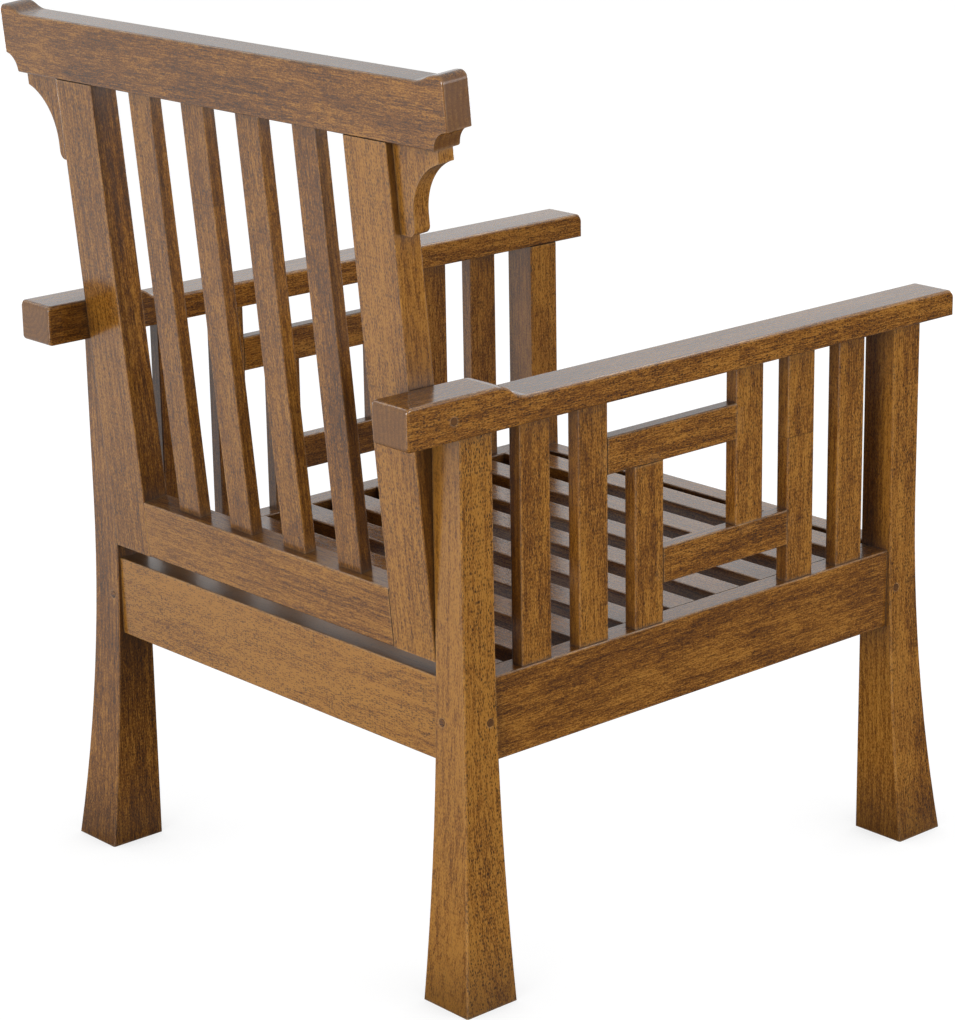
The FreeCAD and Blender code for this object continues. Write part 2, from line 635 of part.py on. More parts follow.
def make_crest(label):
    """The top rail: raised ears at both ends and a cove under each."""
    body = new_body(label)
    lean(body)
    profile = sketch_on(body, "XZ_Plane", "CrestProfile")
    outline(profile, crest_end(1) + crest_end(-1))
    shaped = pad(body, profile, "Dims.back_thick")
    low = "Dims.crest_underside"
    cove_top = number(f"{low} + Dims.crest_cove")
    ease(body, shaped, "Dims.crest_ease", lambda edge: is_crest_edge(edge, cove_top))
    for side in (1, -1):
        block(body, "StileMortise", span(side, *wider(STILE_TENON_X)), wider(BACK_TENON_Y),
              (low, f"{low} + Dims.stile_tenon + Dims.mortise_spare"), cut=True)
        hole(body, "CorbelPinHole", (f"{side} * ({LEG_IN} + Dims.corbel_pin_out)", CORBEL_MID, low), "+z",
             "Dims.pin_radius", "Dims.pin_length / 2 + Dims.mortise_spare")
    for i in range(4):
        block(body, "SlatMortise", wider(back_slat_tenon_x(i)), wider(BACK_SLAT_TENON_Y),
              (low, f"{low} + Dims.slat_tenon + Dims.mortise_spare"), cut=True)


def is_crest_edge(edge, cove_top):
    """Edges of the crest's two broad faces, apart from its coves, which stay crisp."""
    straight = edge.Curve.TypeId == "Part::GeomLine"
    return edge.BoundBox.YLength < 1 and (straight or edge.CenterOfMass.z > cove_top)


def make_corbel(label, side):
    """A bracket under the crest's overhang: flat end, hollow curve and rounded toe."""
    body = new_body(label)
    lean(body)
    high = "Dims.crest_underside"
    end = f"({LEG_IN} + Dims.corbel_reach)"
    leg = f"({LEG_IN} + Dims.corbel_leg)"
    toe = f"({high} - Dims.corbel_height)"
    rise = "sqrt(Dims.corbel_arc ^ 2 - (Dims.corbel_arc - Dims.corbel_reach + Dims.corbel_leg) ^ 2)"
    profile = sketch_on(body, "XZ_Plane", "CorbelProfile")
    outline(profile, (
        (f"{side} * {LEG_IN}", high),
        (f"{side} * {LEG_IN}", toe),
        (f"{side} * ({leg} - Dims.corbel_toe)", toe, "Dims.corbel_toe", side),
        (f"{side} * {leg}", f"{toe} + Dims.corbel_toe"),
        (f"{side} * {leg}", f"{high} - Dims.corbel_end - {rise}", "Dims.corbel_arc", -side),
        (f"{side} * {end}", f"{high} - Dims.corbel_end"),
        (f"{side} * {end}", high),
    ))
    shaped = pad(body, profile, "Dims.corbel_thick + Dims.corbel_recess")
    ease(body, shaped, "Dims.edge_ease", is_corbel_front)
    recess = ("-Dims.corbel_recess", "Dims.mortise_spare")
    block(body, "Recess", span(side, f"{LEG_IN} - Dims.mortise_spare", f"{end} + Dims.mortise_spare"),
          recess, (f"{toe} - Dims.mortise_spare", f"{high} + Dims.mortise_spare"), cut=True)
    hole(body, "StilePinHole", (f"{side} * {LEG_IN}", CORBEL_MID, "Dims.corbel_pin_up"),
         "+x" if side > 0 else "-x", "Dims.pin_radius", "Dims.pin_length / 2 + Dims.mortise_spare")
    base = f"{high} - Dims.pin_length / 2 - Dims.mortise_spare"
    hole(body, "CrestPinHole", (f"{side} * ({LEG_IN} + Dims.corbel_pin_out)", CORBEL_MID, base), "+z",
         "Dims.pin_radius", "Dims.pin_length")


def is_corbel_front(edge):
    """Edges of a corbel's front face, apart from those against the stile and the crest."""
    middle = edge.CenterOfMass
    front = edge.BoundBox.YLength < 1 and middle.y < number(CORBEL_MID)
    free = abs(middle.x) > number(LEG_IN) + 1 and middle.z < number("Dims.crest_underside") - 1
    return front and free


def seat_slat_y(i):
    return f"({MIDDLE} + {i - (SEAT_SLATS - 1) / 2} * Dims.seat_slat_pitch)"


def cleat_screw_y(step):
    return f"({MIDDLE} + {step} * Dims.seat_slat_pitch)"


def make_seat_slat(label, i):
    body = new_body(label)
    bar(body, (f"-{SIDE_IN}", SIDE_IN), around(seat_slat_y(i), "Dims.seat_slat_width"),
        (CLEAT_HIGH, "Dims.apron_top"), "x")
    for side in (1, -1):
        hole(body, "ScrewHole", (f"{side} * {CLEAT_MID}", seat_slat_y(i), CLEAT_HIGH), "+z",
             "Dims.wood_screw_radius", "Dims.wood_screw_length - Dims.cleat_height + Dims.mortise_spare")


def make_cleat(label, side):
    """The ledger inside a side apron that the seat slats are screwed to from below."""
    body = new_body(label)
    y = (f"{FRONT_IN} + Dims.cleat_gap", f"{REAR_IN} - Dims.cleat_gap")
    bar(body, span(side, CLEAT_IN, SIDE_IN), y, (CLEAT_LOW, CLEAT_HIGH), "y")
    for i in range(SEAT_SLATS):
        base = (f"{side} * {CLEAT_MID}", seat_slat_y(i), CLEAT_LOW)
        hole(body, "SlatScrewHole", base, "+z", "Dims.wood_screw_radius", "Dims.cleat_height")
        countersink(body, base, "+z", "Dims.wood_screw_radius", "Dims.wood_screw_head")
    outwards = "+x" if side > 0 else "-x"
    for step in CLEAT_SCREW_STEPS:
        base = (f"{side} * {CLEAT_IN}", cleat_screw_y(step), f"({CLEAT_LOW} + {CLEAT_HIGH}) / 2")
        hole(body, "ApronScrewHole", base, outwards, "Dims.wood_screw_radius", "Dims.cleat_width")
        countersink(body, base, outwards, "Dims.wood_screw_radius", "Dims.wood_screw_head")


def make_fasteners():
    pegs = []
    slat_screws = []
    cleat_screws = []
    arm_screws = []
    plugs = []
    dowels = []
    corbel_pins = []
    across, height = back_to_world("-Dims.arm_screw_depth", "Dims.arm_screw_up")
    peg_end = f"({FLARE_AT_PEG} + Dims.peg_proud - Dims.peg_length)"
    for side in (1, -1):
        outwards, inwards = ("+x", "-x") if side > 0 else ("-x", "+x")
        for end in (1, -1):
            face = REAR if end > 0 else FRONT
            shoulder = REAR_IN if end > 0 else FRONT_IN
            setback = f"{end} * Dims.peg_setback"
            side_base = (f"{side} * ({LEG_OUT} + {peg_end})", f"{shoulder} + {setback}", PEG_UP)
            cross_base = (f"{side} * ({LEG_IN} + Dims.peg_setback)", f"{face} + {end} * {peg_end}", PEG_UP)
            endwards = "+y" if end > 0 else "-y"
            pegs.append(pin(side_base, outwards, "Dims.peg_radius", "Dims.peg_length"))
            pegs.append(pin(cross_base, endwards, "Dims.peg_radius", "Dims.peg_length"))
        for i in range(SEAT_SLATS):
            slat_screws.append(screw((f"{side} * {CLEAT_MID}", seat_slat_y(i), CLEAT_LOW), "+z",
                                     "Dims.wood_screw_radius", "Dims.wood_screw_head",
                                     "Dims.wood_screw_length"))
        for step in CLEAT_SCREW_STEPS:
            base = (f"{side} * {CLEAT_IN}", cleat_screw_y(step), f"({CLEAT_LOW} + {CLEAT_HIGH}) / 2")
            cleat_screws.append(screw(base, outwards, "Dims.wood_screw_radius", "Dims.wood_screw_head",
                                      "Dims.cleat_screw_length"))
        bottom = f"{side} * ({LEG_IN} + Dims.arm_width - Dims.plug_thick)"
        arm_screws.append(screw((bottom, across, height), inwards, "Dims.arm_screw_radius",
                                "Dims.arm_screw_head", "Dims.arm_screw_length"))
        plugs.append(pin((bottom, across, height), outwards, "Dims.plug_radius",
                         "Dims.plug_thick + Dims.peg_proud"))
        dowels.append(pin((f"{side} * ({LEG_IN} - Dims.dowel_length / 2)", BACK_MID, "Dims.dowel_up"),
                          outwards, "Dims.dowel_radius", "Dims.dowel_length"))
        corbel_pins.append(pin((f"{side} * ({LEG_IN} - Dims.pin_length / 2)", CORBEL_MID,
                                "Dims.corbel_pin_up"), outwards, "Dims.pin_radius", "Dims.pin_length"))
        corbel_pins.append(pin((f"{side} * ({LEG_IN} + Dims.corbel_pin_out)", CORBEL_MID,
                                "Dims.crest_underside - Dims.pin_length / 2"), "+z",
                               "Dims.pin_radius", "Dims.pin_length"))
    group("apron_pegs", pegs)
    group("slat_screws", slat_screws)
    group("cleat_screws", cleat_screws)
    group("arm_screws", arm_screws)
    group("arm_plugs", plugs)
    lean(group("back_dowels", dowels))
    lean(group("corbel_dowels", corbel_pins))


def build():
    for side, name in ((1, "left"), (-1, "right")):
        make_leg(f"rear_leg_{name}", side, 1)
        make_leg(f"front_leg_{name}", side, -1)
        make_side_apron(f"side_apron_{name}", side)
        make_arm(f"arm_{name}", side)
        make_side_panel(f"{name}_panel", side)
        make_stile(f"back_stile_{name}", side)
        make_corbel(f"corbel_{name}", side)
        make_cleat(f"seat_cleat_{name}", side)
    make_cross_apron("rear_apron", 1)
    make_cross_apron("front_apron", -1)
    make_bottom_rail("back_bottom_rail")
    make_crest("crest_rail")
    for i in range(4):
        make_back_slat(f"back_slat_{i + 1}", i)
    for i in range(SEAT_SLATS):
        make_seat_slat(f"seat_slat_{i + 1}", i)
    make_fasteners()
    doc.recompute()


def check():
    """Stop before anything is written if an object or a shape is wrong."""
    for item in doc.Objects:
        if {"Invalid", "Error"} & set(item.State):
            raise RuntimeError(f"{item.Name} ({item.Label}) is {item.State}")
        if item.TypeId in ("PartDesign::Fillet", "PartDesign::Chamfer"):
            kept = item.Shape.Volume / item.Base[0].Shape.Volume
            if not 0.98 < kept < 1:
                raise RuntimeError(f"{item.Name} took off the wrong amount of wood")
    for piece in pieces:
        if piece.Shape.isNull() or not piece.Shape.isValid():
            raise RuntimeError(f"{piece.Label} has no valid shape")


def write():
    os.makedirs("parts", exist_ok=True)
    for piece in pieces:
        piece.Shape.exportStep(os.path.join("parts", f"{piece.Label}.step"))
        print(f"{piece.Label}: {len(piece.Shape.Solids)} solid, {piece.Shape.Volume / 1000:.1f} cm3")


build()
check()
write()
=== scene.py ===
import math
import random

import bpy
from mathutils import Matrix, Vector


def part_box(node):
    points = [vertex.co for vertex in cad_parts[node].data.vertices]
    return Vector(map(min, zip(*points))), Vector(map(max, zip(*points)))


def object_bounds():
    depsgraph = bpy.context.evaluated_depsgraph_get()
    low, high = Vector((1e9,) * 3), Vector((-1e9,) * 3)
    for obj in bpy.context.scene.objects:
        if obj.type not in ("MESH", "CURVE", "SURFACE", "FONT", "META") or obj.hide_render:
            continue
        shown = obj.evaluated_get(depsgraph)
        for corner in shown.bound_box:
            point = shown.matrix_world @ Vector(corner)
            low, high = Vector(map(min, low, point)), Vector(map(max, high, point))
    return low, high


# Looks of a slatted hardwood armchair. Metres, +Z up, the sitter faces -Y.

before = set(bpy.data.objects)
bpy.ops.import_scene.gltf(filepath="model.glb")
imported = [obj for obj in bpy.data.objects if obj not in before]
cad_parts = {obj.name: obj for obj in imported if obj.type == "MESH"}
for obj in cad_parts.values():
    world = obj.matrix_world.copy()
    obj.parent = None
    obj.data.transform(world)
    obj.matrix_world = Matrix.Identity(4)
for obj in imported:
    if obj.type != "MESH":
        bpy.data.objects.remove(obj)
cad_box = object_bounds()

X, Y, Z = Vector((1, 0, 0)), Vector((0, 1, 0)), Vector((0, 0, 1))
BACK_TILT = math.radians(5.2)
LEAN = Vector((0, math.sin(BACK_TILT), math.cos(BACK_TILT)))
BACK_FACE = Vector((0, math.cos(BACK_TILT), -math.sin(BACK_TILT)))

# Camera, as fitted to the photograph
IMAGE_HEIGHT = 1020
FOCAL_PIXELS = 3136.6
AZIMUTH = math.radians(228.611)
ELEVATION = math.radians(16.992)
ROLL = math.radians(-0.968)
DISTANCE = 3.235
TARGET = Vector((-0.1509, 0.1563, 0.45))
SENSOR = 36.0

# Floor. It glows white, and a little less so near the feet, where a shadow is painted on.
FLOOR_SIZE = 60.0
FLOOR_COLOUR = (0.10, 0.10, 0.10, 1.0)
FLOOR_SHADE = 0.60
SHADE_REACH = 0.30
# In the gloss of the wood its glow is a painted reflection: it fades from a bright side to a dark one, and
# is painted dark under the chair as shade
FLOOR_BRIGHT_SIDE = (0.75, 0.66, 0.0)
FLOOR_FADE = (-0.8, 2.4)
FLOOR_GLOSS = (0.10, 1.0)
SHELTER_REACH = 0.60
SHELTER_FADE = (0.45, 0.95)

# Light. The room's level fades from the horizon to overhead.
HORIZON = 0.12
ZENITH = 0.05
SKY_FADE = (0.15, 0.9)
WHITE = (1.0, 1.0, 1.0, 1.0)
LAMPS = (
    # name, direction from the chair, distance, width, height, watts
    ("key", (0.00, -0.66, 0.75), 3.2, 2.6, 0.4, 14.0),
    ("sheen", (0.72, -0.63, 0.29), 4.5, 4.5, 2.2, 2.5),
    ("top_left", (0.70, 0.25, 0.65), 3.4, 1.0, 1.0, 6.0),
    ("front", (0.10, -0.99, 0.06), 3.4, 1.4, 1.0, 38.0),
    ("left", (0.99, 0.05, 0.06), 3.4, 1.4, 1.0, 36.0),
    ("rear", (-0.30, 0.94, 0.05), 4.5, 1.9, 1.6, 145.0),
    ("right", (-0.95, -0.25, 0.18), 3.4, 1.4, 1.4, 55.0),
)

# Wood colours, from the palest depth of stain to the darkest
LIGHT_WOOD = (0.470, 0.205, 0.030, 1.0)
MID_WOOD = (0.235, 0.083, 0.008, 1.0)
DARK_WOOD = (0.066, 0.023, 0.004, 1.0)
MID_DEPTH = 0.45
USUAL_DEPTH = 0.26
PORE = (0.030, 0.012, 0.003, 1.0)
END_WOOD = (0.125, 0.056, 0.018, 1.0)
# Pale edge colour: wear, and a painted highlight on the arrises
WORN_AND_HIGHLIGHT = (0.600, 0.400, 0.200, 1.0)
# The colour of painted shade in corners and gaps, and of grime in the joints
SHADE_AND_GRIME_COLOUR = (0.016, 0.005, 0.001, 1.0)

# Noises: cycles a metre along the grain and across it, detail, roughness
WANDER = (2.2, 11.0, 2.0, 0.5)
FIBRE = (55.0, 720.0, 3.0, 0.7)
STREAK = (6.0, 170.0, 2.0, 0.6)
CLOUD = (3.2, 24.0, 4.0, 0.6)
MOTTLE = (420.0, 950.0, 1.0, 0.6)
CROWD = (7.0, 45.0, 2.0, 0.5)
PATCH = (60.0, 60.0, 3.0, 0.7)
# How far each one swings the depth of the stain along a board, and its share of that on a sawn end
FIBRE_SWING = 2.3
STREAK_SWING = 0.9
CLOUD_SWING = 1.0
MOTTLE_SWING = 1.6
END_SWING = 0.5

# Growth rings: each darkens through its width, then ends sharply
RING_SPACING = 0.0062
RING_DRIFT = 0.030
RING_RISE = (0.15, 0.92)
RING_FALL = (0.92, 1.0)
RING_DEPTHS = (0.18, 0.22)
PITH = (0.030, 0.085)
PITH_ASIDE = 0.02
TREE_LENGTH = 30
GRAIN_SLOPE = 0.035
END_FADE = (0.6, 0.95)
END_SHARE = 0.50

# Pores
PORE_CELLS = (260.0, 900.0)
PORE_CHANCE = (0.55, 1.4)
PORE_SIZE = 0.50
PORE_EDGE = (-0.08, 0.12)
PORE_DARKNESS = 0.90
FACE_FADE = (0.3, 0.9)

# Rubbed edges: worn paler, and a painted highlight along the arrises
RIM_REACH = 0.003
RIM_FADE = (0.92, 0.62)
UPWARD_FADE = (-0.3, 0.7)
UPWARD_SHARE = (0.12, 0.9)
PATCH_FADE = (0.35, 0.60)
PATCH_SHARE = (0.2, 1.0)

# Painted shade darkening corners and the gaps between parts, and grime in tight joints: how far each
# reaches, how dark it is
SHADE_AND_GRIME_REACHES = ((0.090, 0.90), (0.004, 0.85))
SHADE_AND_GRIME_FADE = (0.85, 0.30)

# Lacquer
GLOSS = 0.62
ROUGHNESS = 0.12
CLOUD_ROUGHNESS = 0.10
PORE_ROUGHNESS = 0.03
END_ROUGHNESS = 0.06
SHADE_AND_GRIME_ROUGHNESS = 0.22
FIBRE_HEIGHT = 0.35
PORE_HEIGHT = -0.15
BUMP_DEPTH = 0.0006
BUMP_STRENGTH = 0.3

# Steel
DULL_STEEL = (0.30, 0.30, 0.31, 1.0)
BRIGHT_STEEL = (0.62, 0.62, 0.60, 1.0)
STEEL_CLOUD = 900.0
STEEL_DETAIL = 3.0
STEEL_FADE = (0.2, 0.8)
STEEL_ROUGHNESS = (0.28, 0.45)
STEEL_BUMP = 0.0001

# Which way each board's grain runs, and the face that its growth rings lie flattest on
BOARDS = (
    ("back_stile", LEAN, BACK_FACE),
    ("back_slat", LEAN, BACK_FACE),
    ("corbel_left", LEAN, BACK_FACE),
    ("corbel_right", LEAN, BACK_FACE),
    ("crest_rail", X, BACK_FACE),
    ("back_bottom_rail", X, BACK_FACE),
    ("rear_apron", X, Y),
    ("front_apron", X, Y),
    ("seat_slat", X, Z),
    ("side_apron", Y, X),
    ("seat_cleat", Y, X),
    ("arm_left", Y, X),
    ("arm_right", Y, X),
    ("left_panel_lattice", Y, X),
    ("right_panel_lattice", Y, X),
    ("left_panel", Z, X),
    ("right_panel", Z, X),
    ("rear_leg", Z, X),
    ("front_leg", Z, X),
)
# Boards that are plainly paler (+) or darker (-) than the rest
TONES = {
    "rear_leg_right": 0.26,
    "front_leg_right": 0.06,
    "front_leg_left": 0.08,
    "corbel_right": 0.16,
    "rear_apron": 0.36,
    "back_stile_right": 0.12,
    "back_stile_left": -0.03,
    "back_bottom_rail": 0.08,
    "rear_leg_left": -0.18,
    "crest_rail": -0.14,
    "back_slat_1": -0.11,
    "back_slat_2": -0.11,
    "back_slat_3": -0.09,
    "back_slat_4": -0.11,
    "side_apron_right": -0.11,
    "right_panel_lattice_rail_upper": -0.10,
    "right_panel_lattice_rail_lower": -0.06,
    "arm_right": -0.05,
}
# Boards whose sides are painted darker (-) than their face, as shade among the back's boards
PAINTED_SIDE_SHADES = {
    "back_stile_left": -0.28,
    "back_slat_1": -0.12,
    "back_slat_2": -0.12,
    "back_slat_3": -0.12,
    "back_slat_4": -0.12,
}
TONE_SPREAD = 0.04
DOWEL_TONE = -0.40
# Boards whose pores are plainly thick (1) or thin (0), and the share that shows off the face
PORES = {
    "rear_leg_right": 1.0,
    "front_leg_right": 0.9,
    "arm_right": 0.9,
    "rear_apron": 0.8,
    "crest_rail": 0.6,
    "side_apron_right": 0.5,
    "back_bottom_rail": 0.5,
}
USUAL_PORES = 0.8
SIDE_PORES = 0.45
# Boards glued up from two lengths, with the place of the joint along the grain
JOINS = {
    "arm_right": -0.055,
    "back_slat_2": 0.799,
    "right_panel_slat_3": 0.497,
}
OTHER_LENGTH = (7.0, 0.015, 0.010)
JOIN_WIDTH = 0.0012
JOIN_DARKNESS = 0.5
DOWELS = ("apron_pegs", "arm_plugs", "back_dowels", "corbel_dowels")
SCREWS = ("slat_screws", "cleat_screws", "arm_screws")
SEED = 7

# Sockets of the wood's node group
GRAIN_SOCKETS = (
    ("Vector", "INPUT", "Vector"),
    ("Tone", "INPUT", "Float"),
    ("Pores", "INPUT", "Float"),
    ("Joint", "INPUT", "Float"),
    ("End", "INPUT", "Float"),
    ("WearAndHighlight", "INPUT", "Float"),
    ("Color", "OUTPUT", "Color"),
    ("Roughness", "OUTPUT", "Float"),
    ("Height", "OUTPUT", "Float"),
)


def connect(tree, made, sockets):
    """A value or a link for each named or numbered input of a node."""
    for name, value in sockets.items():
        if isinstance(value, bpy.types.NodeSocket):
            tree.links.new(value, made.inputs[name])
        else:
            made.inputs[name].default_value = value


def add_node(tree, kind, sockets=None, **settings):
    """A shader node with its settings, and a value or a link for each named or numbered input."""
    made = tree.nodes.new(f"ShaderNode{kind}")
    for name, value in settings.items():
        setattr(made, name, value)
    connect(tree, made, sockets or {})
    return made


def calculate(tree, operation, first, second=0.0, clamp=False):
    made = add_node(tree, "Math", {0: first, 1: second}, operation=operation, use_clamp=clamp)
    return made.outputs[0]


def add_shares(tree, total, shares):
    """A total with an amount of each part added to it."""
    for part, amount in shares:
        total = calculate(tree, "ADD", total, calculate(tree, "MULTIPLY", part, amount))
    return total


def combine(tree, operation, first, second):
    """Two vectors made into one."""
    return add_node(tree, "VectorMath", {0: first, 1: second}, operation=operation).outputs["Vector"]


def scaled(tree, vector, factor):
    return add_node(tree, "VectorMath", {0: vector, "Scale": factor}, operation="SCALE").outputs["Vector"]


def along(tree, vector, direction):
    """How far a vector reaches along a direction."""
    made = add_node(tree, "VectorMath", {0: vector, 1: direction}, operation="DOT_PRODUCT")
    return made.outputs["Value"]


def blend(tree, factor, first, second):
    """One colour turned into another by a factor."""
    mixed = add_node(tree, "Mix", {0: factor, 6: first, 7: second}, data_type="RGBA")
    return mixed.outputs[2]


def ease(tree, value, low, high, to_low=0.0, to_high=1.0):
    """A smooth step from one level to another."""
    sockets = {0: value, 1: low, 2: high, 3: to_low, 4: to_high}
    return add_node(tree, "MapRange", sockets, interpolation_type="SMOOTHSTEP").outputs[0]


def openness(tree, reach, samples, **settings):
    """How far a place is open to its surroundings, or a rim to its own board's inside."""
    return add_node(tree, "AmbientOcclusion", {"Distance": reach}, samples=samples, **settings).outputs["AO"]


def surface(tree, name):
    """The place or the normal of the surface."""
    return add_node(tree, "NewGeometry").outputs[name]


def turned_to(tree, direction):
    """How squarely the surface faces along a direction, either way."""
    return calculate(tree, "ABSOLUTE", along(tree, surface(tree, "Normal"), direction))


def stretched(tree, vector, lengthwise, across):
    """Board coordinates scaled along and across the grain."""
    return combine(tree, "MULTIPLY", vector, (lengthwise, across, across))


def noise(tree, vector, lengthwise, across, detail, roughness):
    place = stretched(tree, vector, lengthwise, across)
    sockets = {"Vector": place, "Scale": 1.0, "Detail": detail, "Roughness": roughness}
    return add_node(tree, "TexNoise", sockets).outputs


def make_rings(tree, vector):
    """Growth rings: bands round the middle of the tree, drawn out of true by slow noise."""
    wander = combine(tree, "SUBTRACT", noise(tree, vector, *WANDER)["Color"], (0.5, 0.5, 0.5))
    moved = combine(tree, "ADD", vector, scaled(tree, wander, RING_DRIFT))
    round_axis = combine(tree, "MULTIPLY", moved, (0.0, 1.0, 1.0))
    radius = add_node(tree, "VectorMath", {0: round_axis}, operation="LENGTH").outputs["Value"]
    turn = calculate(tree, "FRACT", calculate(tree, "DIVIDE", radius, RING_SPACING))
    return calculate(tree, "MULTIPLY", ease(tree, turn, *RING_RISE), ease(tree, turn, *RING_FALL, 1.0, 0.0))


def make_pores(tree, vector, amount):
    """Pores: short dark flecks along the grain, thick in some places and thin in others."""
    crowd = noise(tree, vector, *CROWD)[0]
    place = stretched(tree, vector, *PORE_CELLS)
    cells = add_node(tree, "TexVoronoi", {"Vector": place, "Scale": 1.0}).outputs
    chance = add_node(tree, "SeparateColor", {0: cells["Color"]}).outputs[0]
    size = ease(tree, calculate(tree, "ADD", chance, crowd), *PORE_CHANCE, 0.0, PORE_SIZE)
    flecks = ease(tree, calculate(tree, "SUBTRACT", size, cells["Distance"]), *PORE_EDGE)
    return calculate(tree, "MULTIPLY", flecks, amount)


def stain_wood(tree, ring, swings, tone, end):
    """Wood stained by its rings and noises. Rings show most on sawn ends, the noises along the board."""
    depth = calculate(tree, "MULTIPLY", ring, ease(tree, end, 0.0, 1.0, *RING_DEPTHS))
    for part, amount in swings:
        reach = ease(tree, end, 0.0, 1.0, amount, amount * END_SWING)
        depth = add_shares(tree, depth, ((calculate(tree, "SUBTRACT", part, 0.5), reach),))
    depth = calculate(tree, "ADD", depth, calculate(tree, "SUBTRACT", USUAL_DEPTH, tone), clamp=True)
    ramp = add_node(tree, "ValToRGB", {0: depth})
    stops = ramp.color_ramp.elements
    stops[0].color = LIGHT_WOOD
    stops[1].color = DARK_WOOD
    stops.new(MID_DEPTH).color = MID_WOOD
    return ramp.outputs[0]


def rub_and_highlight_edges(tree, vector, colour, wear_and_highlight):
    """Edges rubbed paler in patches and given a painted highlight, most of all those that face up."""
    rim = ease(tree, openness(tree, RIM_REACH, 2, inside=True, only_local=True), *RIM_FADE)
    upward = add_node(tree, "SeparateXYZ", {0: surface(tree, "Normal")}).outputs[2]
    facing = ease(tree, upward, *UPWARD_FADE, *UPWARD_SHARE)
    patch = ease(tree, noise(tree, vector, *PATCH)[0], *PATCH_FADE, *PATCH_SHARE)
    rubbed_and_highlit = rim
    for share in (wear_and_highlight, facing, patch):
        rubbed_and_highlit = calculate(tree, "MULTIPLY", rubbed_and_highlit, share)
    return blend(tree, rubbed_and_highlit, colour, WORN_AND_HIGHLIGHT)


def make_grain():
    """Wood as a node group. Its coordinates run along the grain in X, about the middle of the tree."""
    tree = bpy.data.node_groups.new("grain", "ShaderNodeTree")
    for name, way, kind in GRAIN_SOCKETS:
        tree.interface.new_socket(name, in_out=way, socket_type=f"NodeSocket{kind}")
    given = tree.nodes.new("NodeGroupInput").outputs
    vector = given["Vector"]

    fibre, streak, cloud, mottle = (noise(tree, vector, *kind)[0] for kind in (FIBRE, STREAK, CLOUD, MOTTLE))
    swings = (fibre, FIBRE_SWING), (streak, STREAK_SWING), (cloud, CLOUD_SWING), (mottle, MOTTLE_SWING)
    pores = make_pores(tree, vector, given["Pores"])
    colour = stain_wood(tree, make_rings(tree, vector), swings, given["Tone"], given["End"])
    dark = calculate(tree, "MAXIMUM", pores, given["Joint"])
    colour = blend(tree, calculate(tree, "MULTIPLY", dark, PORE_DARKNESS), colour, PORE)
    colour = blend(tree, calculate(tree, "MULTIPLY", given["End"], END_SHARE), colour, END_WOOD)
    colour = rub_and_highlight_edges(tree, vector, colour, given["WearAndHighlight"])

    rough = add_shares(tree, ROUGHNESS, (
        (cloud, CLOUD_ROUGHNESS),
        (pores, PORE_ROUGHNESS),
        (given["End"], END_ROUGHNESS),
    ))
    # Painted shade in corners and gaps between parts, and grime in the joints, darken the colour and roughen
    # the lacquer
    for reach, amount in SHADE_AND_GRIME_REACHES:
        shade_and_grime = ease(tree, openness(tree, reach, 2), *SHADE_AND_GRIME_FADE, 0.0, amount)
        colour = blend(tree, shade_and_grime, colour, SHADE_AND_GRIME_COLOUR)
        rough = add_shares(tree, rough, ((shade_and_grime, SHADE_AND_GRIME_ROUGHNESS),))

    taken = tree.nodes.new("NodeGroupOutput").inputs
    tree.links.new(colour, taken["Color"])
    tree.links.new(rough, taken["Roughness"])
    tree.links.new(add_shares(tree, 0.0, ((fibre, FIBRE_HEIGHT), (pores, PORE_HEIGHT))), taken["Height"])
    return tree


def lacquered(tree, colour, roughness, height):
    """Lacquered wood from its colour, roughness and height."""
    bump = add_node(tree, "Bump", {"Height": height, "Distance": BUMP_DEPTH, "Strength": BUMP_STRENGTH})
    shader = add_node(tree, "BsdfPrincipled", {
        "Base Color": colour,
        "Roughness": roughness,
        "Normal": bump.outputs[0],
        "Specular IOR Level": GLOSS,
    })
    add_node(tree, "OutputMaterial", {"Surface": shader.outputs[0]})


def new_material(name):
    material = bpy.data.materials.new(name)
    material.use_nodes = True
    material.node_tree.nodes.clear()
    return material


def join_lengths(tree, here, vector, grain, place):
    """Two lengths glued end to end: other wood past the place of the joint, and a fine line there."""
    past = calculate(tree, "SUBTRACT", along(tree, here, grain), place)
    beyond = calculate(tree, "GREATER_THAN", past, 0.0)
    moved = combine(tree, "ADD", vector, scaled(tree, OTHER_LENGTH, beyond))
    return moved, ease(tree, calculate(tree, "ABSOLUTE", past), JOIN_WIDTH, 0.0, 0.0, JOIN_DARKNESS)


def saw(name, grain, face, draw):
    """The middle of the tree that a board is sawn from, and how the board is turned in it."""
    low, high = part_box(name)
    side = face.cross(grain)
    slope = Matrix.Rotation(draw.uniform(-GRAIN_SLOPE, GRAIN_SLOPE), 3, side)
    turn = Matrix((slope @ grain, side, slope @ face)).transposed()
    pith = face * draw.uniform(*PITH) * draw.choice((-1, 1))
    aside = side * draw.uniform(-PITH_ASIDE, PITH_ASIDE)
    return (low + high) / 2 + pith + aside - grain * draw.uniform(0, TREE_LENGTH), turn.to_euler()


